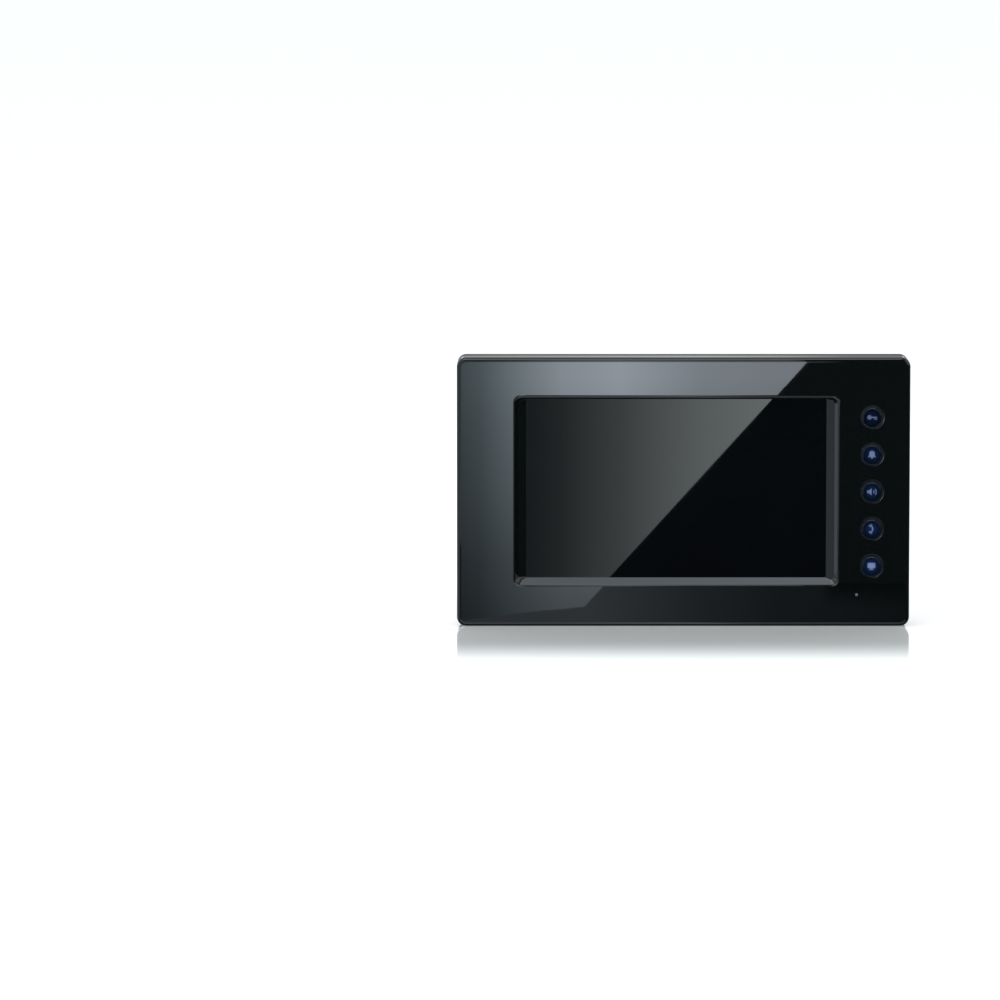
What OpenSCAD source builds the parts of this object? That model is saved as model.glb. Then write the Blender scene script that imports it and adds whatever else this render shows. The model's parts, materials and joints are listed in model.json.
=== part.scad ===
// Wall-hung video intercom monitor: a 7 inch screen and five lit push keys
// in a shallow two-shell casing, which hooks onto a pressed steel wall plate.
//
// Frame: millimetres, +Z up. The wall is the plane y = 0 and the screen faces -Y.
// The origin is the middle of the wall plate's screw pattern, on the wall.
// Depths named *_d or *_back and *_front are distances from the wall.

/* [Casing] */
// Width of the casing
body_w = 230; // [215:1:280]
// Height of the casing
body_h = 137.4; // [132:0.1:170]
// Depth of the casing, from its rear rim to its front face
body_d = 24.7; // [24.7:0.1:32]
// Corner radius of the casing, seen from the front
corner_r = 4.8; // [4:0.1:8]
// Radius of the rolled edge around the front face
edge_r = 2; // [0.6:0.1:2.2]
// Wall behind the front face
front_wall = 2.4; // [1.8:0.1:2.8]
// Side wall of both shells
side_wall = 2; // [1.6:0.1:2.6]
// Rear wall of the rear cover
rear_wall = 2.2; // [1.8:0.1:2.6]
// Depth of the front shell, from the parting line to the front face
front_shell = 10; // [9:0.1:12]
// Step at the parting line, from the front shell in to the rear cover
shell_step = 0.3; // [0.1:0.1:0.6]
// Chamfer around the rear cover
rear_chamfer = 2.2; // [1:0.1:4]
// Gap between the rear rim and the wall
rim_gap = 0.3; // [0.2:0.1:1]

/* [Screen] */
// Width of the lit area of the display
screen_w = 152.4; // [140:0.1:165]
// Height of the lit area of the display
screen_h = 91.4; // [84:0.1:100]
// Distance from the casing's left edge to the lit area
screen_left = 35.2; // [32:0.1:45]
// Distance from the casing's top edge to the lit area
screen_top = 21.3; // [18:0.1:30]
// Width of the sunk frame beside the lit area
bezel_side = 6.3; // [4:0.1:8]
// Width of the sunk frame above the lit area
bezel_above = 1.8; // [1.5:0.1:5]
// Width of the sunk frame below the lit area
bezel_below = 3.8; // [2:0.1:6]
// Depth of the window below the front face
recess = 3.6; // [3:0.1:4]
// Depth of the steep outer facet of the sunk frame
lip_drop = 2.2; // [1:0.1:2.6]
// Thickness of the window sheet
window_t = 1; // [0.8:0.1:1.5]
// Thickness of the foam gasket behind the window
gasket_t = 0.5; // [0.3:0.1:1]
// Thickness of the display's glass cell
cell_t = 1.4; // [1:0.1:1.8]
// Thickness of the display's backlight tray
tray_t = 3.7; // [3:0.1:4.5]
// Margin of the display module around the lit area, at each side
module_margin_x = 6.5; // [5:0.1:8]
// Margin of the display module above and below the lit area
module_margin_z = 6.8; // [5:0.1:7]

/* [Keys] */
// Diameter of a key cap
key_dia = 9.2; // [8:0.1:10]
// Distance between key centres
key_pitch = 19; // [16:0.1:21]
// Distance from the casing's right edge to the key centres
key_edge = 19.4; // [18:0.1:22]
// Height of the middle key above the middle of the casing
key_rise = 0.3; // [-3:0.1:3]
// Width of the lit ring around a key
ring_w = 1.15; // [0.8:0.05:1.5]
// How far a key can be pressed
key_travel = 0.6; // [0.3:0.1:0.8]
// How far a key cap stands out of the front face
key_proud = 0.2; // [0:0.1:0.6]
// Radial gap between a key cap and its ring
key_gap = 0.15; // [0.1:0.05:0.3]
// Diameter of the status light
status_dia = 1.2; // [1:0.1:3]

/* [Wall plate] */
// Width of the wall plate
plate_w = 128; // [120:1:134]
// Height of the wall plate
plate_h = 90; // [86:1:94]
// Sheet thickness of the wall plate
plate_t = 1.2; // [1:0.1:1.5]
// Width between the four wall screws
screw_span_x = 114; // [108:1:116]
// Height between the four wall screws
screw_span_z = 76; // [72:1:78]
// Distance between the two slots for a round wall box
box_span = 60.3; // [58:0.1:62]
// Diameter of the wall plate's screw holes, and width of its slots
wall_hole = 4.4; // [4:0.1:5]
// Length of the slots for a round wall box
box_slot = 10; // [6:0.5:12]
// Width of a hook
hook_w = 12; // [8:0.5:14]
// How far a hook reaches up behind the rear cover's wall
hook_rise = 6; // [4:0.1:7]
// Room for screw heads between the wall plate and the rear cover
head_room = 2.8; // [2.4:0.1:3.4]

/* [Boards and speaker] */
// Thickness of the main board
board_t = 1.6; // [1:0.1:1.6]
// Width of the main board
board_w = 120; // [112:1:124]
// Height of the main board
board_h = 84; // [80:1:88]
// Thickness of the key board
key_board_t = 1.2; // [0.8:0.1:1.6]
// Height of the components' room behind the main board
part_room = 4.8; // [4.8:0.1:5]
// Diameter of the speaker
speaker_dia = 36; // [28:1:36]
// Depth of the speaker's basket
basket_h = 3.4; // [3:0.1:4]
// Depth of the speaker's magnet
magnet_h = 3.8; // [3:0.1:4.2]

/* [Fasteners] */
// Thread diameter of the casing screws
case_screw = 2.6; // [2.2:0.1:3]
// Thread diameter of the board, clip and speaker screws
small_screw = 2; // [1.7:0.1:2.3]

/* [Hidden] */
$fn = 48;

touch = 0.1;          // gap between pieces that only rest on each other
thread_gap = 0.05;    // radial gap around a screw in its hole
sink = 0.5;           // how far a boss is rooted in the wall that carries it
through = 1;          // how far a cut runs past the face that it opens
hull_fn = 32;

// Depths of the casing
front_d = rim_gap + body_d;
front_in = front_d - front_wall;
parting = front_d - front_shell;
rear_in = rim_gap + rear_wall;
lip_h = 2;
lip_t = 1;
lip_gap = 0.15;
rib_t = 1.4;
rib_w = 16;
rib_gap = 0.2;

// Sunk frame and window, seen from the front
lip_share = [0.36, 0.4, 0.64];   // outer facet's share at the sides, above and below
screen_x = -body_w/2 + screen_left + screen_w/2;
screen_z = body_h/2 - screen_top - screen_h/2;
bezel_w = screen_w + 2*bezel_side;
bezel_h = screen_h + bezel_above + bezel_below;
bezel_z = screen_z + (bezel_above - bezel_below)/2;
bezel_r = 3.3;
frame_flange = 3;                 // how far the sunk frame reaches behind the front wall
window_over = 2.6;                // how far the window reaches past the lit area
gasket_in = 0.6;                  // the gasket's opening stands this far off the lit area
window_front = front_d - recess;
window_back = window_front - window_t;
gasket_back = window_back - gasket_t;
cell_back = gasket_back - cell_t;
tray_back = cell_back - tray_t;
module_w = screen_w + 2*module_margin_x;
module_h = screen_h + 2*module_margin_z;
cell_inset = 2;

// Wall plate, hooks and the rear cover's recess
floor_out = plate_t + head_room;
floor_in = floor_out + rear_wall;
tongue_gap = 0.2;
tongue_back = floor_in + tongue_gap;
tongue_front = tongue_back + plate_t;
hook_x = 45;
hook_z = [18, -30];               // top face of each row of hook shelves
hook_side_gap = 0.5;
lift = hook_rise + 0.6;           // lift that frees the hooks
slot_h = lift + plate_t + 0.2;
recess_gap = 3;
recess_w = plate_w + 2*recess_gap;
recess_top = plate_h/2 + 1.5;
recess_bottom = -plate_h/2 - lift - 1.4;
recess_h = recess_top - recess_bottom;
recess_z = (recess_top + recess_bottom)/2;
cable_w = 44;                     // the wall plate's cable opening
cable_top = 24;
cable_bottom = -38;

// Main board
board_z = -3;
board_back = floor_in + part_room;
board_front = board_back + board_t;
board_hole_x = board_w/2 - 4;
board_hole_z = board_h/2 - 4;
header_z = -24;
header_h = 8.6;
header_gap = 1.6;                 // around a header in the rear cover's opening
header_pitch = 5;
header_end = 0.2;                 // wall outside a header's first and last way
door_header = [-7.5, 4];          // middle and number of ways
power_header = [12.5, 2];
function header_w(ways) = ways*header_pitch + 2*header_end;

// Keys: cap, insert and plunger move; ring, switch and lights stay
KEYS = ["unlock", "bell", "talk", "handset", "monitor"];
key_x = body_w/2 - key_edge;
function key_z(i) = key_rise + (len(KEYS) - 1 - 2*i)*key_pitch/2;
ring_in = key_dia/2 + key_gap;
ring_out = ring_in + ring_w;
guide_t = 1.5;
flange_t = 1;
flange_r = ring_out - 0.2;
core_r = 3.15;
core_gap = 0.05;
face_t = 0.8;                     // the cap's face, which the symbol comes up through
stem_r = 1.6;
stem_l = 1.4;
plunger_r = 1.65;
plunger_out = 0.9;
plunger_in = 0.6;
switch_side = 6;
switch_h = 3.1;
guide_back = front_in - guide_t;
flange_front = guide_back - touch;
flange_back = flange_front - flange_t;
stem_back = flange_back - stem_l;
switch_front = stem_back - plunger_out;
key_board_front = switch_front - switch_h;
key_board_back = key_board_front - key_board_t;
key_face = front_d + key_proud;

// Key board, status light and microphone
boss_off_z = 9.5;
key_boss_x = 8;
key_boss_z = [key_z(0) + boss_off_z, key_z(4) - boss_off_z];
key_board_w = 21;
key_board_top = key_boss_z[0] + 3;
key_board_bottom = key_z(4) - 17.8;
status_x = key_x - 7.5;
status_z = key_z(4) - 14.7;
pipe_flange_r = 1.7;
pipe_flange_t = 2;
pipe_back = key_board_front + 1;
light_side = 1.6;
light_h = 0.8;
mic_r = 2;
mic_h = 1.6;
mic_boot_r = 2.6;
mic_port = 1.2;
mic_d = front_in - mic_boot_r - touch;
mic_z = -body_h/2 + side_wall + touch;
mic_wall = 0.5;

// Speaker, on the rear cover's wall beside the recess
speaker_x = -body_w/2 + 25;
speaker_z = -body_h/2 + 32.5;
speaker_r = speaker_dia/2;
gasket_h = 0.8;
speaker_flange_t = 1;
basket_back = rear_in + gasket_h;
basket_front = basket_back + basket_h;
magnet_front = basket_front + magnet_h;
magnet_r = 10;
speaker_screw_a = [60, 120, 240, 300];
speaker_screw_r = speaker_r + 3.4;
speaker_boss_r = 2.3;
speaker_washer_r = 4.2;
speaker_screw_in = 0.4;           // how far a speaker screw reaches into the rear wall
channel_drop = 1;                 // sound channel, sunk in the rear cover's outer face
slot_pitch = 3;
slot_w = 1.5;

// Screws
case_screw_l = 14;
case_head_r = case_screw;
case_head_h = 1.8;
case_head_back = 3.3;
case_boss_r = 3.4;
case_tower_r = 4.6;
case_at = [
    for (x = [-1, 1], z = [-1, 1]) [x*(body_w/2 - 7.5), z*(body_h/2 - 8)],
    for (z = [-1, 1]) [0, z*(body_h/2 - 7.5)]
];
small_head_r = 2;
small_head_h = 1.4;
small_boss_r = 2.4;
clip_t = 0.8;
clip_w = 9;
clip_boss_r = 3;
clip_off = 4.6;                   // from the display module's edge to the boss
clip_over = 2.5;                  // from the display module's edge in over its tray
clip_x = [screen_x - 45, screen_x + 45];

// Rounded rectangle, middle on the origin
module outline(w, h, r) {
    square([w - 2*r, h], center = true);
    square([w, h - 2*r], center = true);
    for (x = [-1, 1], z = [-1, 1])
        translate([x*(w/2 - r), z*(h/2 - r)]) circle(r);
}

// A flat shape drawn in x and z, made solid between two distances from the wall
module deep(back, front) {
    translate([0, -back, 0]) rotate([90, 0, 0]) linear_extrude(front - back) children();
}

// A round bar along the depth, between two distances from the wall
module bar(back, front, r, at = [0, 0]) {
    translate([at[0], -back, at[1]]) rotate([90, 0, 0]) cylinder(front - back, r, r);
}

// A block between two corners, given as [x, depth, z]
module block(low, high) {
    translate([low[0], -high[1], low[2]]) cube([high[0] - low[0], high[1] - low[1], high[2] - low[2]]);
}

// A pan-head screw, its head towards the wall (sign = 1) or the front (sign = -1)
module screw(head_back, r, length, head_r, head_h, at, sign = 1) {
    slot = head_r*1.1;
    translate([at[0], -head_back, at[1]]) rotate([90*sign, 0, 0]) difference() {
        union() {
            cylinder(head_h, head_r, head_r);
            cylinder(head_h + length, r, r);
        }
        for (turn = [0, 90]) rotate(turn)
            translate([-slot/2, -head_r*0.11, -through]) cube([slot, head_r*0.22, through + head_h*0.55]);
    }
}

// A round tube of 8 sides swept along points given as [x, y, z]
function unit(v) = v/norm(v);
function way(p, i) = unit(p[min(i + 1, len(p) - 1)] - p[max(i - 1, 0)]);
module tube(p, r, sides = 8) {
    rings = [
        for (i = [0:len(p) - 1])
            let (t = way(p, i), u = unit(cross(t, [0, 0.3, 1])), v = cross(t, u))
            for (k = [0:sides - 1])
                let (a = 360*k/sides) p[i] + r*(cos(a)*u + sin(a)*v)
    ];
    n = len(p);
    walls = [
        for (i = [0:n - 2], k = [0:sides - 1])
            let (a = i*sides + k, b = i*sides + (k + 1)%sides)
            [a, a + sides, b + sides, b]
    ];
    ends = [
        [for (k = [0:sides - 1]) k],
        [for (k = [sides - 1:-1:0]) (n - 1)*sides + k]
    ];
    polyhedron(rings, concat(walls, ends), convexity = 4);
}

// Points on a smooth curve that leaves a along da and reaches b along db
function curve(a, da, b, db, steps = 12) = [
    for (i = [0:steps])
        let (t = i/steps, s = 1 - t)
        s*s*s*a + 3*s*s*t*(a + da) + 3*s*t*t*(b - db) + t*t*t*b
];

// A ribbon's edge outline: a line of points thickened to both sides
function side_of(p, i, t) = let (w = way(p, i)) p[i] + t/2*[-w[1], w[0]];
module strip(p, t) {
    polygon(concat(
        [for (i = [0:len(p) - 1]) side_of(p, i, t)],
        [for (i = [len(p) - 1:-1:0]) side_of(p, i, -t)]
    ));
}

// ---------------------------------------------------------------- casing

module front_skin() {
    hull() {
        deep(parting, front_d - edge_r) outline(body_w, body_h, corner_r, $fn = hull_fn);
        for (a = [30, 60, 90])
            let (in = edge_r*(1 - cos(a)), d = front_d - edge_r*(1 - sin(a)))
            deep(d - 0.01, d) outline(body_w - 2*in, body_h - 2*in, corner_r - in, $fn = hull_fn);
    }
}

module front_shell() {
    color("#0d0f10") difference() {
        union() {
            difference() {
                front_skin();
                deep(parting - through, front_in)
                    outline(body_w - 2*side_wall, body_h - 2*side_wall, corner_r - side_wall);
            }
            for (at = case_at) bar(parting, front_in + sink, case_boss_r, at);
            for (x = clip_x, s = [-1, 1])
                bar(tray_back, front_in + sink, clip_boss_r, [x, clip_boss_z(s)]);
            for (x = [-1, 1], z = key_boss_z)
                bar(key_board_front, front_in + sink, small_boss_r, [key_x + x*key_boss_x, z]);
            display_ribs();
        }
        translate([screen_x, 0, bezel_z])
            deep(front_in - through, front_d + through) outline(bezel_w, bezel_h, bezel_r);
        for (i = [0:len(KEYS) - 1])
            bar(front_in - through, front_d + through, ring_out + touch, [key_x, key_z(i)]);
        bar(front_in - through, front_d + through, status_dia/2 + touch, [status_x, status_z]);
        microphone_port();
        for (at = case_at) bar(parting - through, front_in - 1, case_screw/2 + thread_gap, at);
        for (x = clip_x, s = [-1, 1])
            bar(tray_back - through, front_in, small_screw/2 + thread_gap, [x, clip_boss_z(s)]);
        for (x = [-1, 1], z = key_boss_z)
            bar(key_board_front - through, front_in, small_screw/2 + thread_gap,
                [key_x + x*key_boss_x, z]);
    }
}

function clip_boss_z(s) = screen_z + s*(module_h/2 + clip_off);

// Ribs that hold the display module in place on both sides, or the room that they need
module display_ribs(room = 0) {
    for (s = [-1, 1], z = [-30, 30])
        let (x = screen_x + s*(module_w/2 + rib_gap + rib_t/2))
        block([x - rib_t/2 - room, tray_back + 1, screen_z + z - rib_w/2 - room],
              [x + rib_t/2 + room, front_in + sink, screen_z + z + rib_w/2 + room]);
}

module microphone_port() {
    translate([key_x, -mic_d, -body_h/2 - through]) cylinder(side_wall + 2*through, mic_port/2, mic_port/2);
}

// The rear cover's outer shape, with its chamfer towards the wall
module rear_skin() {
    w = body_w - 2*shell_step;
    h = body_h - 2*shell_step;
    hull() {
        deep(rim_gap + rear_chamfer, parting) outline(w, h, corner_r - shell_step, $fn = hull_fn);
        deep(rim_gap, rim_gap + 0.01)
            outline(w - 2*rear_chamfer, h - 2*rear_chamfer, corner_r - shell_step, $fn = hull_fn);
    }
}

// The rear cover's inside follows its outside at one wall's distance
module rear_room() {
    w = body_w - 2*side_wall;
    h = body_h - 2*side_wall;
    hull() {
        deep(rear_in + rear_chamfer, parting + through) outline(w, h, corner_r - side_wall, $fn = hull_fn);
        deep(rear_in, rear_in + 0.01)
            outline(w - 2*rear_chamfer, h - 2*rear_chamfer, corner_r - side_wall, $fn = hull_fn);
    }
}

module rear_cover() {
    color("#17191a") difference() {
        union() {
            difference() {
                rear_skin();
                rear_room();
            }
            translate([0, 0, recess_z])
                deep(rear_in - sink, floor_in) outline(recess_w + 2*rear_wall, recess_h + 2*rear_wall, 6);
            cover_lip();
            for (at = case_at) bar(rear_in - sink, parting, case_tower_r, at);
            for (x = [-1, 1], z = [-1, 1])
                bar(floor_in - sink, board_back, 3, [x*board_hole_x, board_z + z*board_hole_z]);
            for (a = speaker_screw_a)
                bar(rear_in - sink, basket_back + speaker_flange_t, speaker_boss_r, speaker_screw_at(a));
        }
        translate([0, 0, recess_z]) deep(-through, floor_out) outline(recess_w, recess_h, 4);
        for (x = [-1, 1], z = hook_z) hook_window(x*hook_x, z);
        for (h = [door_header, power_header])
            translate([h[0], 0, header_z])
                deep(rim_gap, floor_in + through)
                    outline(header_w(h[1]) + 2*header_gap, header_h + 2*header_gap, 1);
        for (at = case_at) {
            bar(-through, case_head_back + case_head_h, case_head_r + 0.5, at);
            bar(0, parting + through, case_screw/2 + 0.2, at);
        }
        for (x = [-1, 1], z = [-1, 1])
            bar(floor_in + 0.6, board_back + through, small_screw/2 + thread_gap,
                [x*board_hole_x, board_z + z*board_hole_z]);
        for (a = speaker_screw_a)
            bar(rear_in - speaker_screw_in - touch, front_in, small_screw/2 + thread_gap, speaker_screw_at(a));
        sound_channel();
        speaker_slots();
        bottom_vents();
    }
}

// Lip that locates the rear cover inside the front shell
module cover_lip() {
    w = body_w - 2*side_wall - 2*lip_gap;
    h = body_h - 2*side_wall - 2*lip_gap;
    r = corner_r - side_wall - lip_gap;
    difference() {
        deep(parting - 2*sink, parting + lip_h) outline(w, h, r);
        deep(parting - 3*sink, parting + lip_h + through) outline(w - 2*lip_t, h - 2*lip_t, r - lip_t);
        for (at = case_at) bar(parting, parting + lip_h + through, case_boss_r + 0.3, at);
    }
    difference() {
        deep(parting - 2*sink, parting)
            outline(body_w - 2*shell_step - 1, body_h - 2*shell_step - 1, corner_r - shell_step - 0.5);
        deep(parting - 3*sink, parting + through) outline(w - 2*lip_t, h - 2*lip_t, r - lip_t);
    }
}

// A window that a hook's tongue can enter, below the edge that then hangs on its shelf
module hook_window(x, z) {
    block([x - hook_w/2 - hook_side_gap, floor_out - through, z - slot_h],
          [x + hook_w/2 + hook_side_gap, floor_in + through, z]);
}

// A shallow channel behind the speaker, open at the rear cover's bottom edge
module sound_channel() {
    deep(-through, rim_gap + channel_drop) translate([speaker_x, 0]) {
        translate([0, speaker_z]) circle(speaker_r - 1);
        translate([-speaker_r + 1, -body_h/2 - through])
            square([2*speaker_r - 2, speaker_z + body_h/2 + through]);
    }
}

// Slots in front of the speaker's cone, shorter towards the sides
module speaker_slots() {
    reach = speaker_r - 4;
    last = ceil((reach - slot_pitch/2)/slot_pitch) - 1;
    for (i = [-last:last])
        let (x = i*slot_pitch, half = sqrt(reach*reach - x*x))
        deep(-through, rear_in + through) translate([speaker_x + x, speaker_z])
            outline(slot_w, 2*half, slot_w/2 - 0.01);
}

// Slots in the rear cover's bottom wall
module bottom_vents() {
    for (x = [12:4:76])
        translate([x, -parting + 3.4, -body_h/2 - through])
            cube([1.6, 5.4, side_wall + shell_step + 2*through]);
}

module screen_frame() {
    depth = lip_drop;
    side_in = lip_share[0]*bezel_side;
    above_in = lip_share[1]*bezel_above;
    below_in = lip_share[2]*bezel_below;
    color("#0b0c0d") difference() {
        union() {
            translate([screen_x, 0, bezel_z])
                deep(window_front, front_d - touch/2) outline(bezel_w - touch, bezel_h - touch, bezel_r - touch/2);
            translate([screen_x, 0, bezel_z])
                deep(window_front, front_in)
                    outline(bezel_w + 2*frame_flange, bezel_h + 2*frame_flange, bezel_r);
        }
        hull() {
            frame_step(front_d + 0.02, 0.4, 0.4, 0.4, bezel_r - 0.4);
            frame_step(front_d - depth, side_in, above_in, below_in, 2.4);
        }
        hull() {
            frame_step(front_d - depth + 0.01, side_in, above_in, below_in, 2.4);
            frame_step(window_front - 0.01, bezel_side, bezel_above, bezel_below, 0.6);
        }
        display_ribs(touch);
    }
}

// One level of the sunk frame's opening, inset from the frame's outer edge
module frame_step(d, side, above, below, r) {
    w = bezel_w - 2*side;
    h = bezel_h - above - below;
    translate([screen_x, 0, bezel_z + (below - above)/2])
        deep(d - 0.01, d) outline(w, h, r, $fn = hull_fn);
}

module screen_window() {
    color([0.05, 0.06, 0.07, 0.6]) translate([screen_x, 0, screen_z])
        deep(window_back, window_front) outline(screen_w + 2*window_over, screen_h + 2*window_over, 1.5);
}

module window_gasket() {
    color("#202020") translate([screen_x, 0, screen_z]) deep(gasket_back, window_back) difference() {
        outline(screen_w + 2*window_over, screen_h + 2*window_over, 1.5);
        square([screen_w + 2*gasket_in, screen_h + 2*gasket_in], center = true);
    }
}

// ---------------------------------------------------------------- display

module display_cell() {
    color("#07090b") translate([screen_x, 0, screen_z])
        deep(cell_back, gasket_back) square([module_w - 2*cell_inset, module_h - 2*cell_inset], center = true);
}

module backlight_tray() {
    color("#b9bcbd") translate([screen_x, 0, screen_z]) difference() {
        deep(tray_back, cell_back) square([module_w, module_h], center = true);
        for (x = [-50, 0, 50])
            deep(tray_back - through, tray_back + 0.4) translate([x, 0]) outline(30, 60, 4);
    }
}

module display_clips() {
    color("#c3c6c8") for (x = clip_x, s = [-1, 1]) {
        inner = screen_z + s*(module_h/2 - clip_over);
        outer = clip_boss_z(s) + s*clip_boss_r;
        difference() {
            block([x - clip_w/2, tray_back - clip_t, min(inner, outer)],
                  [x + clip_w/2, tray_back, max(inner, outer)]);
            bar(tray_back - clip_t - through, tray_back + through, small_screw/2 + 0.2, [x, clip_boss_z(s)]);
        }
    }
}

module clip_screws() {
    color("#8e9193") for (x = clip_x, s = [-1, 1])
        screw(tray_back - clip_t - small_head_h, small_screw/2, 5.5, small_head_r, small_head_h,
              [x, clip_boss_z(s)]);
}

flex_w = 30;
flex_t = 0.2;
flex_x = 34 - board_w/2;          // the ribbon's middle, clear of the board's screws
flex_line = concat(
    [[(cell_back + gasket_back)/2, -module_h/2 + cell_inset]],
    curve([(cell_back + gasket_back)/2, -module_h/2 - 0.6], [0, -2.2],
          [board_front + 1, -module_h/2 - 0.4], [0, 2.2], 10),
    [[board_front + 1, -module_h/2 + 7]]
);

module display_flex() {
    color("#b5651d") translate([flex_x - flex_w/2, 0, screen_z])
        rotate([0, 90, 0]) rotate([0, 0, 180]) linear_extrude(flex_w)
            strip([for (p = flex_line) [p[1], p[0]]], flex_t);
}

module flex_connector() {
    z = screen_z - module_h/2 + 7;
    color("#e9e4d8") block([flex_x - flex_w/2 - 2, board_front, z + touch],
                           [flex_x + flex_w/2 + 2, board_front + 1.5, z + 4]);
}

// ---------------------------------------------------------------- main board

module main_board() {
    color("#1c5a35") difference() {
        translate([0, 0, board_z]) deep(board_back, board_front) outline(board_w, board_h, 2);
        for (x = [-1, 1], z = [-1, 1])
            bar(board_back - through, board_front + through, small_screw/2 + 0.2,
                [x*board_hole_x, board_z + z*board_hole_z]);
    }
}

module board_screws() {
    color("#8e9193") for (x = [-1, 1], z = [-1, 1])
        screw(board_front + small_head_h, small_screw/2, board_t + 3.6, small_head_r, small_head_h,
              [x*board_hole_x, board_z + z*board_hole_z], sign = -1);
}

// A flat chip with rows of legs on two or four sides, on the main board's rear face
module chip(x, z, w, h, t, legs, sides) {
    block([x - w/2, board_back - t, z - h/2], [x + w/2, board_back - 0.1, z + h/2]);
    for (i = [0:legs - 1], s = [-1, 1]) {
        if (sides > 1) leg(x - w/2 + (i + 0.5)*w/legs, z + s*(h/2 + 0.5), 0.3, 0.6);
        if (sides != 2) leg(x + s*(w/2 + 0.5), z - h/2 + (i + 0.5)*h/legs, 0.6, 0.3);
    }
}

module leg(x, z, half_x, half_z) {
    block([x - half_x, board_back - 0.5, z - half_z], [x + half_x, board_back, z + half_z]);
}

module video_processor() {
    color("#1a1a1a") chip(6, 12, 14, 14, 1.5, 12, 4);
}

module line_chips() {
    color("#1a1a1a") {
        chip(-24, 14, 9, 4, 1.7, 8, 2);
        chip(-24, 0, 9, 4, 1.7, 8, 2);
        chip(28, 14, 9, 6, 1.3, 10, 2);
    }
}

module capacitors() {
    color("#c9cccd") for (at = [[-14, -14], [-24, -14], [16, -12], [26, -12]])
        bar(board_back - 4.4, board_back, 3.15, at);
}

module choke() {
    color("#3a3d3f") difference() {
        translate([-6, 0, 27]) deep(board_back - 3.8, board_back) outline(10, 10, 2);
        bar(board_back - 3.8 - through, board_back - 3, 3.4, [-6, 27]);
    }
}

// A header that a cable's plug enters from the wall side: one square hole for each way
module wall_header(at) {
    back = floor_out + 0.2;
    w = header_w(at[1]);
    difference() {
        block([at[0] - w/2, back, header_z - header_h/2], [at[0] + w/2, board_back, header_z + header_h/2]);
        for (i = [0:at[1] - 1])
            let (x = at[0] + (i - (at[1] - 1)/2)*header_pitch)
            block([x - 1.9, back - through, header_z - 3], [x + 1.9, back + 5, header_z + 3]);
    }
}

ribbon_w = 10;
ribbon_z = key_rise + key_pitch/2;
key_header_x = key_x - key_board_w/2 + 3.5;
main_header_x = board_w/2 - 5.5;

module ribbon_headers() {
    color("#efece2") {
        block([key_header_x - 2.5, key_board_back - 4, ribbon_z - 6.5], [key_header_x + 2.5, key_board_back, ribbon_z + 6.5]);
        block([main_header_x - 2.5, board_back - 4, ribbon_z - 6.5], [main_header_x + 2.5, board_back, ribbon_z + 6.5]);
    }
}

ribbon_line = curve([key_header_x - 2.5 - touch/2, key_board_back - 2], [-8, 0],
                    [main_header_x + 2.5 + touch/2, board_back - 2], [-8, 0], 14);

module key_ribbon() {
    color("#9a9fa3") translate([0, 0, ribbon_z - ribbon_w/2])
        linear_extrude(ribbon_w) strip([for (p = ribbon_line) [p[0], -p[1]]], 0.9);
}

speaker_header_z = -30;

module speaker_header() {
    color("#efece2") block([-board_w/2 + 2, board_back - 4, speaker_header_z - 3.5],
                           [-board_w/2 + 7, board_back, speaker_header_z + 3.5]);
}

// ---------------------------------------------------------------- key board

module key_board() {
    color("#1c5a35") difference() {
        block([key_x - key_board_w/2, key_board_back, key_board_bottom],
              [key_x + key_board_w/2, key_board_front, key_board_top]);
        for (x = [-1, 1], z = key_boss_z)
            bar(key_board_back - through, key_board_front + through, small_screw/2 + 0.2,
                [key_x + x*key_boss_x, z]);
    }
}

module key_board_screws() {
    color("#8e9193") for (x = [-1, 1], z = key_boss_z)
        screw(key_board_back - small_head_h, small_screw/2, 5.5, small_head_r, small_head_h,
              [key_x + x*key_boss_x, z]);
}

module key_switches() {
    color("#232526") for (i = [0:len(KEYS) - 1]) difference() {
        block([key_x - switch_side/2, key_board_front, key_z(i) - switch_side/2],
              [key_x + switch_side/2, switch_front, key_z(i) + switch_side/2]);
        bar(switch_front - plunger_in - key_travel - 0.2, switch_front + through, plunger_r + 0.1,
            [key_x, key_z(i)]);
    }
}

module key_lights() {
    color("#dfe6ff") for (i = [0:len(KEYS) - 1], s = [-1, 1])
        let (x = key_x + s*(switch_side/2 + 1.6))
        block([x - light_side/2, key_board_front, key_z(i) - light_side/2],
              [x + light_side/2, key_board_front + light_h, key_z(i) + light_side/2]);
}

module key_light_guide() {
    w = 2*ring_out + 1.6;
    color([0.35, 0.45, 0.7, 0.6]) difference() {
        union() {
            translate([key_x, 0, key_rise])
                deep(guide_back, front_in) outline(w, (len(KEYS) - 1)*key_pitch + w, 3);
            for (i = [0:len(KEYS) - 1]) bar(guide_back, front_d, ring_out, [key_x, key_z(i)]);
        }
        for (i = [0:len(KEYS) - 1]) bar(guide_back - through, front_d + through, ring_in, [key_x, key_z(i)]);
    }
}

module status_light() {
    color("#f2f4f5") block([status_x - light_side/2, key_board_front, status_z - light_side/2],
                           [status_x + light_side/2, key_board_front + 0.7, status_z + light_side/2]);
}

module status_pipe() {
    color("#e8eef2") {
        bar(pipe_back, front_d, status_dia/2, [status_x, status_z]);
        bar(front_in - pipe_flange_t, front_in, pipe_flange_r, [status_x, status_z]);
    }
}

module microphone_boot() {
    color("#202122") translate([key_x, -mic_d, mic_z]) difference() {
        cylinder(mic_h + 2*mic_wall, mic_boot_r, mic_boot_r);
        translate([0, 0, mic_wall]) cylinder(mic_h + through, mic_r, mic_r);
        translate([0, 0, -through]) cylinder(through + mic_wall + 0.1, mic_port/2, mic_port/2);
    }
}

module microphone() {
    color("#b4b7b9") translate([key_x, -mic_d, mic_z + mic_wall + 0.02]) cylinder(mic_h, mic_r - 0.02, mic_r - 0.02);
}

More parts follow.
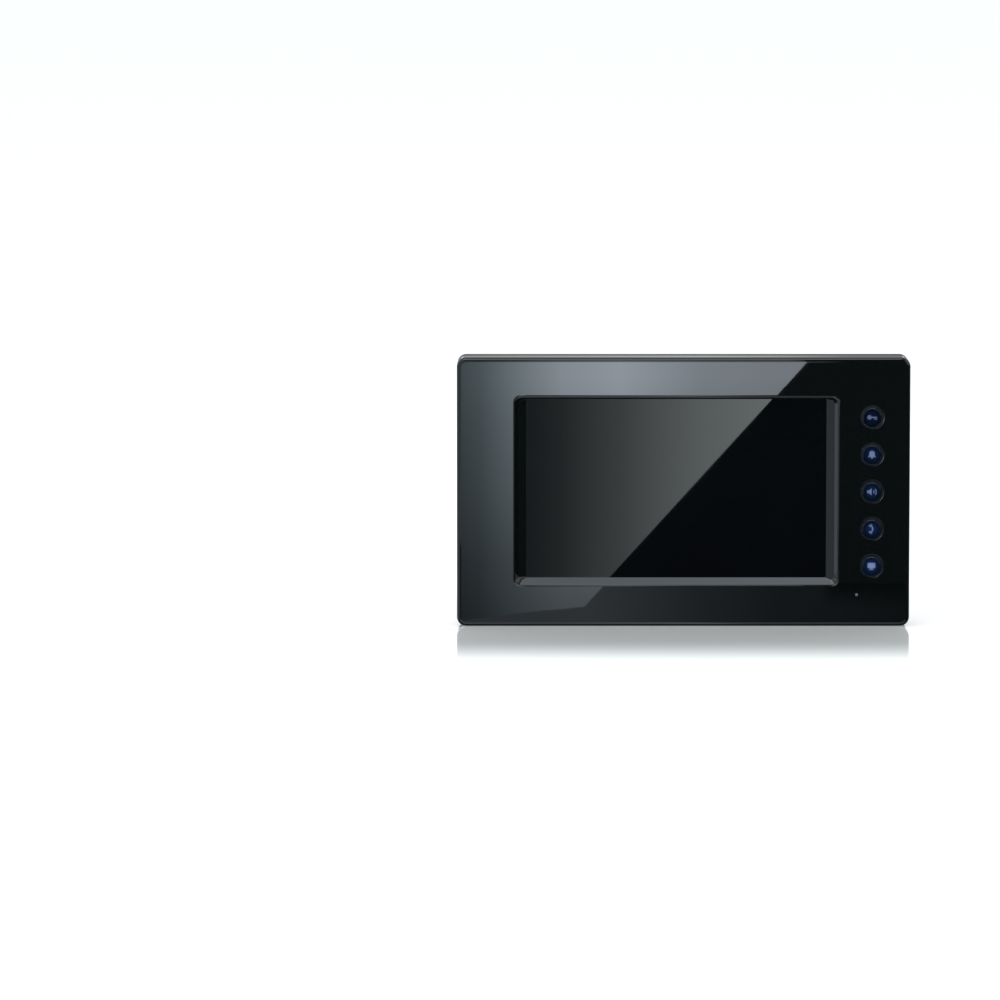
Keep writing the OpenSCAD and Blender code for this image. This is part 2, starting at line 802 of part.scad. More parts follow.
// Two leads from the microphone to the key board's front face
module microphone_leads() {
    top = mic_z + mic_wall + mic_h + 0.04;
    color("#b02a20") for (x = [-0.9, 0.9])
        tube(curve([key_x + x, -mic_d, top], [0, 0, 4],
                   [key_x + x, -key_board_front - 0.05, key_board_bottom + 3], [0, 6, 0], 10), 0.3);
}

// ---------------------------------------------------------------- speaker

function speaker_screw_at(a) = [speaker_x + speaker_screw_r*cos(a), speaker_z + speaker_screw_r*sin(a)];

module speaker_turned(back) {
    translate([speaker_x, -back, speaker_z]) rotate([90, 0, 0]) children();
}

module speaker_gasket() {
    color("#2a2b2c") speaker_turned(rear_in) difference() {
        cylinder(gasket_h, speaker_r, speaker_r);
        translate([0, 0, -through]) cylinder(gasket_h + 2*through, speaker_r - 2.4, speaker_r - 2.4);
    }
}

module speaker_basket() {
    r = speaker_r;
    color("#6d7173") speaker_turned(basket_back) rotate_extrude() polygon([
        [r - 2.4, 0], [r, 0], [r, speaker_flange_t], [r - 2.2, speaker_flange_t],
        [magnet_r + 1, basket_h], [3.6, basket_h], [3.6, basket_h - 0.8],
        [magnet_r + 0.6, basket_h - 0.8]
    ]);
}

module speaker_cone() {
    r = speaker_r - 2.6;
    color("#3b3a37") speaker_turned(basket_back) rotate_extrude() polygon([
        [0, 0.7], [4.5, 1.4], [5.5, 1.8], [r - 2.4, 0.1], [r - 1.4, -0.4], [r, 0],
        [r, 0.1], [r - 1.4, -0.2], [r - 2.4, 0.35], [5.5, 2.1], [4.5, 1.7], [0, 1]
    ]);
}

module speaker_magnet() {
    color("#4a4d4f") speaker_turned(basket_front) {
        cylinder(magnet_h - 0.8, magnet_r, magnet_r);
        cylinder(magnet_h, magnet_r - 1.2, magnet_r - 1.2);
    }
}

module speaker_screws() {
    color("#8e9193") for (a = speaker_screw_a)
        screw(basket_back + speaker_flange_t + small_head_h, small_screw/2,
              basket_back + speaker_flange_t - rear_in + speaker_screw_in, speaker_washer_r, small_head_h,
              speaker_screw_at(a), sign = -1);
}

// Two leads from the speaker's basket to the main board
module speaker_leads() {
    color("#b02a20") for (s = [-1, 1]) {
        start = [speaker_x + magnet_r + 1.2, -basket_front - 0.45, speaker_z + 2 + 1.2*s];
        end = [-board_w/2 + 2 - touch/2, -board_back + 2, speaker_header_z + 1.2*s];
        tube(curve(start, [7, -1, 0], end, [7, 0, 0], 14), 0.5);
    }
}

// ---------------------------------------------------------------- wall plate

module wall_plate() {
    color("#b8bbbd") {
        difference() {
            deep(0, plate_t) difference() {
                outline(plate_w, plate_h, 4);
                translate([0, (cable_top + cable_bottom)/2]) outline(cable_w, cable_top - cable_bottom, 4);
                for (x = [-1, 1]) {
                    translate([x*box_span/2, 0]) slot_outline(box_slot, wall_hole);
                    for (z = hook_z) translate([x*hook_x, z + lance_h/2])
                        square([hook_w + 2*hook_side_gap, lance_h], center = true);
                }
            }
            for (x = [-1, 1], z = [-1, 1])
                bar(-through, plate_t + through, wall_hole/2, [x*screw_span_x/2, z*screw_span_z/2]);
        }
        for (x = [-1, 1], z = hook_z) hook(x*hook_x, z);
    }
}

lance_h = tongue_front + hook_rise - plate_t;   // the opening that a bent-out hook leaves in the plate

module slot_outline(length, width) {
    square([length - width, width], center = true);
    for (s = [-1, 1]) translate([s*(length - width)/2, 0]) circle(width/2);
}

// A hook bent out of the plate: a shelf whose top face is at z, and a tongue up from its end
module hook(x, z) {
    block([x - hook_w/2, plate_t/2, z - plate_t], [x + hook_w/2, tongue_front, z]);
    block([x - hook_w/2, tongue_back, z - plate_t], [x + hook_w/2, tongue_front, z + hook_rise]);
}

module blank_label() {
    color("#d7d9da") translate([body_w/2 - 24, 0, 24]) deep(rim_gap - 0.1, rim_gap) outline(30, 18, 1.5);
}

// ---------------------------------------------------------------- keys

// The five symbols, each one filled shape or a few, so that no island is left in the cap
module symbol(name) {
    if (name == "unlock") {
        translate([-1.4, 0]) circle(1.15);
        translate([-1.4, -0.35]) square([3.9, 0.7]);
        for (x = [1, 1.9]) translate([x, -1.25]) square([0.6, 1.2]);
    }
    if (name == "bell") {
        translate([0, 0.55]) circle(1.45);
        translate([-1.45, -0.9]) square([2.9, 1.45]);
        polygon([[-1.45, -0.5], [-2.1, -1.3], [2.1, -1.3], [1.45, -0.5]]);
        translate([0, -1.45]) circle(0.6);
    }
    if (name == "talk") {
        polygon([[-2.4, -0.75], [-1.4, -0.75], [-0.1, -1.8], [-0.1, 1.8], [-1.4, 0.75], [-2.4, 0.75]]);
        for (r = [1.15, 2.25]) sector(r, 0.5, 42);
    }
    if (name == "handset") {
        translate([-1.35, 0]) sector(1.9, 0.8, 62);
        for (s = [-1, 1]) translate([-0.55, s*1.75]) rotate(s*28) square([1.7, 1.05], center = true);
    }
    if (name == "monitor") {
        translate([0, 0.3]) outline(4, 2.8, 0.5);
        translate([-0.35, -1.7]) square([0.7, 0.8]);
        translate([-1.1, -1.95]) square([2.2, 0.5]);
    }
}

// Part of a ring, from minus half_angle to plus half_angle about the x axis
module sector(r, w, half_angle) {
    reach = 2*(r + w);
    intersection() {
        difference() {
            circle(r + w/2);
            circle(r - w/2);
        }
        polygon([[0, 0], [reach, -reach*tan(half_angle)], [reach, reach*tan(half_angle)]]);
    }
}

module key_cap(i) {
    color("#0a0f1c") translate([key_x, 0, key_z(i)]) difference() {
        union() {
            bar(flange_back, flange_front, flange_r);
            bar(flange_back, key_face - 0.2, key_dia/2);
            translate([0, -(key_face - 0.2), 0]) rotate([90, 0, 0])
                cylinder(0.2, key_dia/2, key_dia/2 - 0.2);
        }
        bar(flange_back - through, key_face - face_t, core_r + core_gap);
        deep(key_face - face_t - 0.1, key_face + through) symbol(KEYS[i]);
    }
}

module key_insert(i) {
    color("#c9d6ff") translate([key_x, 0, key_z(i)]) {
        bar(flange_back + 0.2, key_face - face_t, core_r);
        bar(stem_back, flange_back + 0.2, stem_r);
        deep(key_face - face_t - 0.1, key_face) symbol(KEYS[i]);
    }
}

module key_plunger(i) {
    color("#d8d2c4") bar(switch_front - plunger_in, stem_back, plunger_r, [key_x, key_z(i)]);
}

// ---------------------------------------------------------------- nodes

wall_plate();
front_shell();
screen_frame();
screen_window();
window_gasket();
display_cell();
backlight_tray();
display_clips();
clip_screws();
display_flex();
rear_cover();
color("#2b2d2e")  // case_screws
    for (at = case_at) screw(case_head_back, case_screw/2, case_screw_l, case_head_r, case_head_h, at);
main_board();
board_screws();
video_processor();
line_chips();
capacitors();
choke();
color("#2f8f4e") wall_header(door_header);
color("#efece2") wall_header(power_header);
flex_connector();
ribbon_headers();
key_ribbon();
speaker_header();
key_board();
key_board_screws();
key_switches();
key_lights();
key_light_guide();
status_light();
status_pipe();
microphone();
microphone_boot();
microphone_leads();
speaker_gasket();
speaker_basket();
speaker_cone();
speaker_magnet();
speaker_screws();
speaker_leads();
blank_label();
for (i = [0:len(KEYS) - 1]) {
    key_cap(i);
    key_insert(i);
    key_plunger(i);
}
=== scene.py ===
"""Looks of the wall-hung video intercom monitor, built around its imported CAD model.

Metres, +Z up, the wall at y = 0 and the screen facing -Y. Every place comes from the frame's boxes.
"""

import json
import math

import bmesh
import bpy
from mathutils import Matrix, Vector

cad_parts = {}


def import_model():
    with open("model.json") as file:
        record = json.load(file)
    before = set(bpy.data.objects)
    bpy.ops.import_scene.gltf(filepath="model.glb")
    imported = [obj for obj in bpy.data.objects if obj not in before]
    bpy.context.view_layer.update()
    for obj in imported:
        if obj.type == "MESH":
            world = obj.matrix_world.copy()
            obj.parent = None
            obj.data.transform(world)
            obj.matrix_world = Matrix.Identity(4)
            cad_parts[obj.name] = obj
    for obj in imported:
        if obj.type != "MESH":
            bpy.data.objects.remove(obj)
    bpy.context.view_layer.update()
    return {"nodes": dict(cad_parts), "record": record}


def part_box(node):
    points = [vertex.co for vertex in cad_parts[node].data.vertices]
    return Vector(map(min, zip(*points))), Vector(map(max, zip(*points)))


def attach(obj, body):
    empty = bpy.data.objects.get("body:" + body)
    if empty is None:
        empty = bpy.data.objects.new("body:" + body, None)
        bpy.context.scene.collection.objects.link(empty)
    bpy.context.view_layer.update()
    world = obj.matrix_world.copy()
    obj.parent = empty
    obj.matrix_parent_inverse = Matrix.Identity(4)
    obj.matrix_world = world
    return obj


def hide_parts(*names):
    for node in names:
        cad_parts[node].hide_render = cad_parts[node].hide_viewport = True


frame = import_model()

MM = 0.001
KEYS = ("unlock", "bell", "talk", "handset", "monitor")
scene = bpy.context.scene
nodes = frame["nodes"]

shell_lo, shell_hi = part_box("front_shell")
frame_lo, frame_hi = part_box("screen_frame")
window_lo, window_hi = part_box("screen_window")
guide_lo, guide_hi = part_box("key_light_guide")
pipe_lo, pipe_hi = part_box("status_pipe")


def middle(low, high):
    return ((low.x + high.x) / 2, (low.z + high.z) / 2)


key_at = {name: middle(*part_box(name + "_cap")) for name in KEYS}
status_at = middle(pipe_lo, pipe_hi)
shell_at = middle(shell_lo, shell_hi)
shell_size = (shell_hi.x - shell_lo.x, shell_hi.z - shell_lo.z)
FRONT = shell_lo.y                         # the front face's plane
SHELL_BACK = shell_hi.y                    # the parting line
WALL = 2.4 * MM                            # thickness behind the front face
SIDE_WALL = 2.0 * MM
CORNER = 4.8 * MM                          # corner radius, seen from the front
EDGE = 2.0 * MM                            # rolled edge around the front face
BAND = 0.3 * MM                            # flat rims that keep a sheet's shading flat

FLANGE = 3 * MM                            # the sunk frame's hidden flange, outside its opening
bezel_at = middle(frame_lo, frame_hi)
bezel_size = (frame_hi.x - frame_lo.x - 2 * FLANGE, frame_hi.z - frame_lo.z - 2 * FLANGE)
BEZEL_CORNER = 3.3 * MM                    # corner radius of the frame's opening
BESIDE, ABOVE, BELOW = 6.3 * MM, 1.8 * MM, 3.8 * MM     # widths of the frame around the window
WINDOW_OVER = 2.6 * MM                     # how far the window reaches past the sunk frame
RING_OUT = 6.0 * MM                        # radius of a key's hole in the front shell
KEY_CIRCLE = 5.35 * MM                     # radius of the lit circle around a key
STATUS_HOLE = 0.7 * MM
PLATE = 1.2 * MM                           # the wall plate's sheet


# ---------------------------------------------------------------- small tools

def linear(hex_code):
    """An sRGB hex colour as linear red, green, blue and alpha."""
    def channel(pair):
        value = int(pair, 16) / 255
        return value / 12.92 if value <= 0.04045 else ((value + 0.055) / 1.055) ** 2.4
    return (*(channel(hex_code[i:i + 2]) for i in (1, 3, 5)), 1.0)


def add(tree, kind, inputs=None, stops=(), **settings):
    """Adds one node and returns its outputs. Sets its properties, sets or links each input by name or
    number, and gives a colour ramp its stops, each (place, colour or grey value)."""
    made = tree.nodes.new("ShaderNode" + kind)
    for name, value in settings.items():
        setattr(made, name, value)
    for key, value in (inputs or {}).items():
        if isinstance(value, bpy.types.NodeSocket):
            tree.links.new(value, made.inputs[key])
        else:
            made.inputs[key].default_value = value
    if stops:
        points = made.color_ramp.elements
        while len(points) < len(stops):
            points.new(0.5)
        for point, (at, value) in zip(points, stops):
            point.position = at
            point.color = value if isinstance(value, tuple) else (value, value, value, 1)
    return made.outputs


def finish_of(name, colour, build, **shader):
    """A material with one Principled shader. build(tree, place) returns its linked inputs, and place
    is a point in the part's own frame, in metres."""
    made = bpy.data.materials.new(name)
    made.use_nodes = True
    tree = made.node_tree
    tree.nodes.clear()
    inputs = {"Base Color": linear(colour)}
    inputs.update({key.replace("_", " ").title().replace("Ior", "IOR"): value
                   for key, value in shader.items()})
    inputs.update(build(tree, add(tree, "TexCoord")["Object"]))
    surface = add(tree, "BsdfPrincipled", inputs)
    add(tree, "OutputMaterial", {"Surface": surface["BSDF"]})
    return made


# ---------------------------------------------------------------- materials

def polished_abs():
    """Piano-black ABS from a polished mould: a deep mirror with a faint orange-peel swell."""
    def build(tree, place):
        swell = add(tree, "TexNoise", {"Vector": place, "Scale": 1 / (9 * MM), "Detail": 1.0})["Fac"]
        haze = add(tree, "TexNoise", {"Vector": place, "Scale": 1 / (22 * MM), "Detail": 4.0})["Fac"]
        peel = add(tree, "Bump", {"Height": swell, "Distance": 0.0012 * MM, "Strength": 1.0})["Normal"]
        rough = add(tree, "MapRange", {"Value": haze, "To Min": 0.002, "To Max": 0.024})["Result"]
        return {"Normal": peel, "Roughness": rough}
    return finish_of("polished_black_abs", "#05090a", build, ior=1.53)


def eroded_abs():
    """Black ABS from a spark-eroded mould: an even fine grain that scatters every highlight."""
    def build(tree, place):
        grain = add(tree, "TexNoise", {"Vector": place, "Scale": 1 / (0.35 * MM), "Detail": 3.0,
                                       "Roughness": 0.6})["Fac"]
        patch = add(tree, "TexNoise", {"Vector": place, "Scale": 1 / (30 * MM), "Detail": 3.0})["Fac"]
        tint = add(tree, "ValToRGB", {"Fac": patch}, [(0.35, linear("#1b1c1d")), (0.7, linear("#222325"))])
        pits = add(tree, "Bump", {"Height": grain, "Distance": 0.02 * MM, "Strength": 0.4})["Normal"]
        rough = add(tree, "MapRange", {"Value": patch, "To Min": 0.35, "To Max": 0.47})["Result"]
        return {"Base Color": tint["Color"], "Normal": pits, "Roughness": rough}
    return finish_of("spark_eroded_abs", "#1e1f20", build, ior=1.53)


def window_acrylic():
    """Hard-coated acrylic, smoked so deeply that the display behind it only shows when it is lit:
    mirror-sharp reflections, with the faint greasy cloudiness that wiping leaves."""
    def build(tree, place):
        smear = add(tree, "TexNoise", {"Vector": place, "Scale": 1 / (40 * MM), "Detail": 3.0})["Fac"]
        tint = add(tree, "ValToRGB", {"Fac": smear}, [(0.3, linear("#010306")), (0.8, linear("#020609"))])
        rough = add(tree, "MapRange", {"Value": smear, "To Min": 0.0, "To Max": 0.02})["Result"]
        return {"Base Color": tint["Color"], "Roughness": rough}
    return finish_of("smoked_acrylic", "#03070a", build, ior=1.49)


def display_film():
    """A switched-off display behind its polariser: almost black, leaning to blue-green."""
    def build(tree, place):
        patch = add(tree, "TexNoise", {"Vector": place, "Scale": 1 / (60 * MM)})["Fac"]
        tint = add(tree, "ValToRGB", {"Fac": patch}, [(0.3, linear("#04080b")), (0.75, linear("#070c10"))])
        rough = add(tree, "MapRange", {"Value": patch, "To Min": 0.25, "To Max": 0.35})["Result"]
        return {"Base Color": tint["Color"], "Roughness": rough}
    return finish_of("polariser_film", "#05090c", build, ior=1.5, specular_ior_level=0.03)


def moulded(name, colour, rough=0.45, grain=0.6 * MM, depth=0.01 * MM):
    """Plain moulded plastic or rubber: a low satin grain and slightly uneven gloss."""
    def build(tree, place):
        fine = add(tree, "TexNoise", {"Vector": place, "Scale": 1 / grain, "Detail": 3.0})["Fac"]
        patch = add(tree, "TexNoise", {"Vector": place, "Scale": 1 / (12 * MM)})["Fac"]
        dark = tuple(0.8 * c for c in linear(colour)[:3]) + (1.0,)
        tint = add(tree, "ValToRGB", {"Fac": patch}, [(0.3, dark), (0.75, linear(colour))])
        skin = add(tree, "Bump", {"Height": fine, "Distance": depth, "Strength": 0.5})["Normal"]
        uneven = add(tree, "MapRange", {"Value": patch, "To Min": rough - 0.06, "To Max": rough + 0.06})
        return {"Base Color": tint["Color"], "Normal": skin, "Roughness": uneven["Result"]}
    return finish_of(name, colour, build, ior=1.5)


def plated(name, colour, rough=0.3, spangle=None):
    """Zinc or nickel over pressed steel: a soft metal sheen, with crystals where it was hot-dipped."""
    def build(tree, place):
        fine = add(tree, "TexNoise", {"Vector": place, "Scale": 1 / (0.5 * MM), "Detail": 4.0})["Fac"]
        if spangle:
            crystals = add(tree, "TexVoronoi", {"Vector": place, "Scale": 1 / spangle})["Color"]
            pattern = add(tree, "SeparateColor", {"Color": crystals})["Red"]
        else:
            pattern = add(tree, "TexNoise", {"Vector": place, "Scale": 1 / (6 * MM), "Detail": 3.0})["Fac"]
        base = linear(colour)
        low = tuple(0.86 * c for c in base[:3]) + (1.0,)
        tint = add(tree, "ValToRGB", {"Fac": pattern}, [(0.0, low), (1.0, base)])
        skin = add(tree, "Bump", {"Height": fine, "Distance": 0.006 * MM, "Strength": 0.5})["Normal"]
        uneven = add(tree, "MapRange", {"Value": pattern, "To Min": rough - 0.08, "To Max": rough + 0.1})
        return {"Base Color": tint["Color"], "Normal": skin, "Roughness": uneven["Result"]}
    return finish_of(name, colour, build, metallic=1.0)


def solder_mask():
    """Green solder mask over copper tracks on a glass-epoxy board."""
    def build(tree, place):
        tracks = add(tree, "TexBrick", {"Vector": place, "Scale": 1 / (9 * MM), "Mortar Size": 0.03},
                     offset=0.35, squash=0.6)["Fac"]
        tint = add(tree, "ValToRGB", {"Fac": tracks}, [(0.2, linear("#14502d")), (0.8, linear("#1f7340"))])
        raised = add(tree, "Bump", {"Height": tracks, "Distance": 0.03 * MM, "Strength": 0.5})["Normal"]
        rough = add(tree, "MapRange", {"Value": tracks, "To Min": 0.32, "To Max": 0.22})["Result"]
        return {"Base Color": tint["Color"], "Normal": raised, "Roughness": rough}
    return finish_of("green_solder_mask", "#17592f", build, ior=1.5)


def from_middle(tree):
    """How far out a point lies in its piece's own box: 0 in the middle and 1 at the middle of a side."""
    place = add(tree, "TexCoord")["Generated"]
    centred = add(tree, "VectorMath", {0: place, 1: (0.5, 0.5, 0.5)}, operation="SUBTRACT")[0]
    flat = add(tree, "VectorMath", {0: centred, 1: (2, 0, 2)}, operation="MULTIPLY")[0]
    return add(tree, "VectorMath", {0: flat}, operation="LENGTH")["Value"]


def own_level(tree, glow):
    """Dims a glow by the piece's own object colour, since no two lights are equally bright."""
    own = add(tree, "ObjectInfo")["Color"]
    return add(tree, "VectorMath", {0: glow, 1: own}, operation="MULTIPLY")[0]


def lit_symbol():
    """Diffusing acrylic with a light behind it: pale blue, a little stronger in the middle."""
    def build(tree, place):
        out = from_middle(tree)
        glow = add(tree, "ValToRGB", {"Fac": out}, [(0.1, linear("#9fb7e6")), (1.0, linear("#6781bd"))])
        rough = add(tree, "MapRange", {"Value": out, "To Min": 0.2, "To Max": 0.3})["Result"]
        return {"Emission Color": own_level(tree, glow["Color"]), "Roughness": rough}
    return finish_of("lit_symbol_acrylic", "#202838", build, ior=1.49, emission_strength=0.48)


def lit_cap():
    """Smoked blue acrylic, glowing faintly where the light behind the symbol leaks past it."""
    def build(tree, place):
        out = from_middle(tree)
        glow = add(tree, "ValToRGB", {"Fac": out},
                   [(0.15, linear("#0c2152")), (0.45, linear("#081a3c")), (0.60, linear("#030e24")),
                    (0.8, linear("#010712")), (1.0, linear("#000308"))])
        rough = add(tree, "MapRange", {"Value": out, "To Min": 0.03, "To Max": 0.07})["Result"]
        return {"Emission Color": own_level(tree, glow["Color"]), "Roughness": rough}
    return finish_of("smoked_blue_acrylic", "#02050a", build, ior=1.49, emission_strength=0.9)


def lit_ring():
    """Frosted light guide around a key: a dim blue circle, broken into the dots that are moulded in
    its back, between two darker rims."""
    dots_in_turn = 28.0

    def build(tree, place):
        share = add(tree, "TexCoord")["Generated"]
        size = guide_hi - guide_lo
        own = add(tree, "VectorMath", {0: share, 1: tuple(size)}, operation="MULTIPLY")[0]
        part = add(tree, "SeparateXYZ", {"Vector": own})
        x = add(tree, "Math", {0: part["X"], 1: size.x / 2}, operation="SUBTRACT")[0]
        z = add(tree, "Math", {0: part["Z"], 1: size.z / 2}, operation="SUBTRACT")[0]
        half = (key_at["unlock"][1] - key_at["bell"][1]) / 2
        z = add(tree, "Math", {0: z, 1: half, 2: -half}, operation="WRAP")[0]
        flat = add(tree, "CombineXYZ", {"X": x, "Z": z})[0]
        out = add(tree, "VectorMath", {0: flat}, operation="LENGTH")["Value"]
        off = add(tree, "Math", {0: out, 1: KEY_CIRCLE}, operation="SUBTRACT")[0]
        off = add(tree, "Math", {0: off}, operation="ABSOLUTE")[0]
        line = add(tree, "MapRange", {"Value": off, "From Min": 0.1 * MM, "From Max": 0.5 * MM,
                                      "To Min": 1.0, "To Max": 0.0})[0]
        turn = add(tree, "Math", {0: z, 1: x}, operation="ARCTAN2")[0]
        wave = add(tree, "Math", {0: turn, 1: dots_in_turn}, operation="MULTIPLY")[0]
        wave = add(tree, "Math", {0: wave}, operation="SINE")[0]
        dots = add(tree, "MapRange", {"Value": wave, "To Min": 0.55, "To Max": 1.0})["Result"]
        level = add(tree, "Math", {0: line, 1: dots}, operation="MULTIPLY")[0]
        glow = add(tree, "ValToRGB", {"Fac": level}, [(0.0, linear("#01040a")), (1.0, linear("#0a1b30"))])
        rough = add(tree, "MapRange", {"Value": level, "To Min": 0.12, "To Max": 0.2})["Result"]
        return {"Emission Color": glow["Color"], "Roughness": rough}
    return finish_of("frosted_acrylic", "#04070a", build, ior=1.49, emission_strength=0.6)


def lit_pipe():
    """Clear polycarbonate light pipe with a small white light behind it."""
    def build(tree, place):
        cloud = add(tree, "TexNoise", {"Vector": place, "Scale": 1 / (1 * MM), "Detail": 1.0})["Fac"]
        glow = add(tree, "ValToRGB", {"Fac": cloud}, [(0.2, linear("#c9d6e6")), (0.9, linear("#f4f8ff"))])
        rough = add(tree, "MapRange", {"Value": cloud, "To Min": 0.1, "To Max": 0.2})["Result"]
        return {"Emission Color": glow["Color"], "Roughness": rough}
    return finish_of("polycarbonate_light_pipe", "#404448", build, ior=1.58, emission_strength=0.1)


FINISHES = {
    "gloss_black": polished_abs(),
    "window": window_acrylic(),
    "foam": moulded("closed_cell_foam", "#242424", rough=0.85, grain=0.8 * MM, depth=0.12 * MM),
    "display_glass": display_film(),
    "display_tray": moulded("white_polycarbonate_tray", "#c4c6c6", rough=0.4),
    "spring_steel": plated("nickel_plated_spring_steel", "#c6c8c9", rough=0.24),
    "screw_steel": plated("zinc_plated_screw", "#b9bcbe", rough=0.26),
    "black_screw": plated("black_oxide_screw", "#3a3b3d", rough=0.36),
    "flex_film": moulded("polyimide_film", "#b5651d", rough=0.25, depth=0.004 * MM),
    "matte_black": eroded_abs(),
    "board": solder_mask(),
    "chip_black": moulded("epoxy_chip_case", "#1c1c1e", rough=0.55, grain=0.3 * MM),
    "capacitor_can": plated("drawn_aluminium_can", "#d3d5d6", rough=0.28),
    "ferrite": moulded("pressed_ferrite", "#3a3c3f", rough=0.6, grain=0.4 * MM, depth=0.03 * MM),
    "terminal_green": moulded("green_nylon", "#2c8a4b", rough=0.42),
    "header_white": moulded("natural_nylon", "#e6e0d0", rough=0.4),
    "ribbon_grey": moulded("flat_cable_sheath", "#8d9194", rough=0.42),
    "switch_black": moulded("glass_filled_nylon", "#1b1c1e", rough=0.5),
    "light_chip": moulded("diode_package", "#eef1f4", rough=0.3),
    "light_guide": lit_ring(),
    "clear_pipe": lit_pipe(),
    "steel_can": plated("drawn_microphone_can", "#c9cbcc", rough=0.22),
    "boot_rubber": moulded("silicone_rubber", "#1a1b1c", rough=0.62),
    "lead_red": moulded("pvc_insulation", "#9e1d17", rough=0.38),
    "speaker_steel": plated("pressed_speaker_basket", "#9da0a2", rough=0.34),
    "speaker_paper": moulded("doped_paper_cone", "#33322f", rough=0.8, grain=1.2 * MM, depth=0.08 * MM),
    "magnet_grey": plated("plated_magnet_cup", "#8f9294", rough=0.3),
    "label": moulded("matt_foil_label", "#c9cbcc", rough=0.48, depth=0.004 * MM),
    "key_black": lit_cap(),
    "key_symbol": lit_symbol(),
    "plunger": moulded("natural_acetal", "#dcd6c8", rough=0.38),
    "plate_steel": plated("hot_dipped_steel", "#c3c6c8", rough=0.42, spangle=4 * MM),
}

for part in frame["record"]["subparts"]:
    for place in nodes[part["node"]].material_slots:
        place.material = FINISHES[part["material_slot"]]

SYMBOL_LEVELS = (0.42, 0.68, 0.62, 0.55, 0.9)      # the five lights are not equally bright
CAP_LEVELS = (0.35, 0.8, 0.8, 0.9, 1.2)
for name, symbol, spill in zip(KEYS, SYMBOL_LEVELS, CAP_LEVELS):
    nodes[name + "_insert"].color = (symbol, symbol, symbol, 1)
    nodes[name + "_cap"].color = (spill, spill, spill, 1)


# ---------------------------------------------------------------- mesh tools

def outline(centre, size, radius, steps=12):
    """Points around a rounded rectangle in x and z, anticlockwise as seen from the front."""
    half_w, half_h = size[0] / 2 - radius, size[1] / 2 - radius
    points = []
    for quarter, (sx, sz) in enumerate(((1, 1), (-1, 1), (-1, -1), (1, -1))):
        for i in range(steps + 1):
            angle = math.radians(90 * (quarter + i / steps))
            points.append((centre[0] + sx * half_w + radius * math.cos(angle),
                           centre[1] + sz * half_h + radius * math.sin(angle)))
    return points


def disc(centre, radius, steps=64):
    """Points around a circle in x and z."""
    return [(centre[0] + radius * math.cos(2 * math.pi * i / steps),
             centre[1] + radius * math.sin(2 * math.pi * i / steps)) for i in range(steps)]


def loft(mesh, levels, ring=False):
    """Joins outlines, each given as (points, y), by rings of quads, and the last to the first in a
    ring. Returns the loops of vertices."""
    loops = [[mesh.verts.new((x, y, z)) for x, z in points] for points, y in levels]
    for near, far in zip(loops, loops[1:] + (loops[:1] if ring else [])):
        for i in range(len(near)):
            j = (i + 1) % len(near)
            mesh.faces.new((near[i], near[j], far[j], far[i]))
    return loops


def fill(mesh, loops):
    """Fills the flat area between an outer loop and the holes in it."""
    edges = []
    for loop in loops:
        for i, vert in enumerate(loop):
            after = loop[(i + 1) % len(loop)]
            edges.append(mesh.edges.get((vert, after)) or mesh.edges.new((vert, after)))
    bmesh.ops.triangle_fill(mesh, use_beauty=True, use_dissolve=False, edges=edges)


def make(name, mesh, body, slot):
    """Turns a bmesh into a smooth-shaded piece of the object, with its sharp edges kept."""
    bmesh.ops.recalc_face_normals(mesh, faces=mesh.faces)
    data = bpy.data.meshes.new(name)
    mesh.to_mesh(data)
    mesh.free()
    piece = bpy.data.objects.new(name, data)
    scene.collection.objects.link(piece)
    data.materials.append(FINISHES[slot])
    data.shade_smooth()
    data.set_sharp_from_angle(angle=math.radians(50))
    weights = piece.modifiers.new("flat_faces_stay_flat", "WEIGHTED_NORMAL")
    weights.mode = "FACE_AREA"
    weights.weight = 100
    weights.keep_sharp = True
    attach(piece, body)
    return piece


def lathe(mesh, centre, profile, steps=72):
    """Turns a profile of (radius, y) about a line along Y. A zero radius closes it with a point."""
    loops = []
    for radius, y in profile:
        if radius == 0:
            loops.append([mesh.verts.new((centre[0], y, centre[1]))])
        else:
            loops.append([mesh.verts.new((x, y, z)) for x, z in disc(centre, radius, steps)])
    for near, far in zip(loops, loops[1:]):
        for i in range(steps):
            j = (i + 1) % steps
            around = [near[i % len(near)], near[j % len(near)], far[j % len(far)], far[i % len(far)]]
            mesh.faces.new(list(dict.fromkeys(around)))


def fillet(start, end, steps=5):
    """Quarter-round from start to end, both (inset, y), that leaves start along y."""
    (a, ya), (b, yb) = start, end
    angles = [math.radians(90 * i / steps) for i in range(steps + 1)]
    return [(a + (b - a) * (1 - math.cos(t)), ya + (yb - ya) * math.sin(t)) for t in angles]


def opening_wall(mesh, shape, front, back, soft):
    """The wall of an opening in a sheet, its front edge rounded over. shape(grow) gives its outline.
    Returns its front and back loops."""
    lip = [(shape(soft - inset), y) for inset, y in fillet((soft, front + soft), (0, front), 4)[::-1]]
    loops = loft(mesh, [(shape(soft + BAND), front)] + lip + [(shape(0), back)])
    return loops[0], loops[-1]


# ---------------------------------------------------------------- front shell

